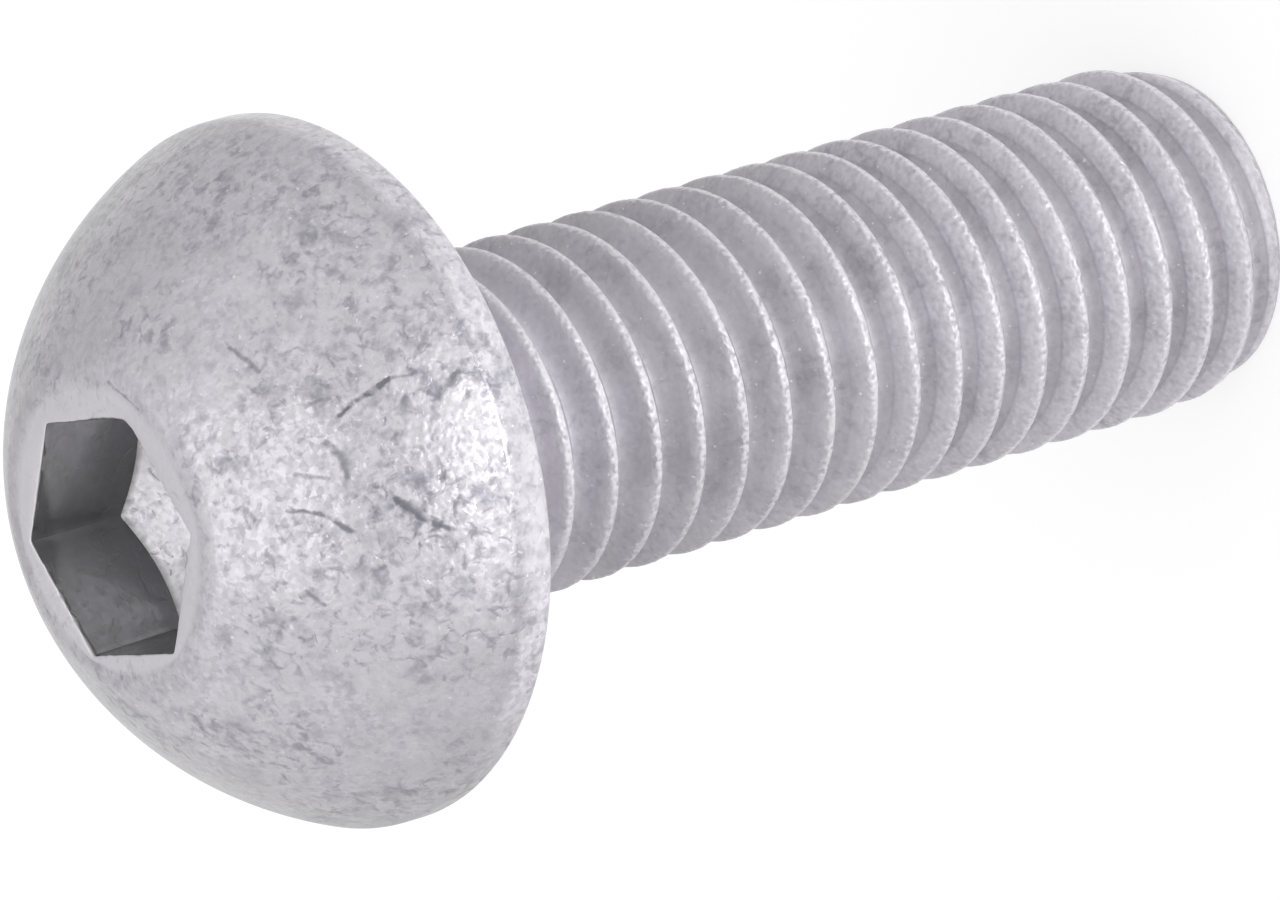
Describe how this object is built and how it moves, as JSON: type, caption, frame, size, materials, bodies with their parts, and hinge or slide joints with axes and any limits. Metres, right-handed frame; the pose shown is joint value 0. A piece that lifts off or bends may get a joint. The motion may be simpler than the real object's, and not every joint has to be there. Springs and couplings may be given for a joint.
{
  "type": "hexagon socket pan head bolt",
  "caption": "Metric machine bolt with a domed pan head, a hexagon socket for a key, and a right-hand thread along its whole shank.",
  "frame": {"origin": "on the axis, in the plane of the head's bearing face, from which the bolt's length is measured", "axes": "+Z along the axis from the tip to the head, out of the socket; the flats of the hexagon that face each other across X are square to +X"},
  "size_m": [0.016, 0.016, 0.031],
  "materials": {
    "zinc_coated_steel": "matte"
  },
  "bodies": {
    "root": {"bolt": "zinc_coated_steel"}
  },
  "joints": []
}
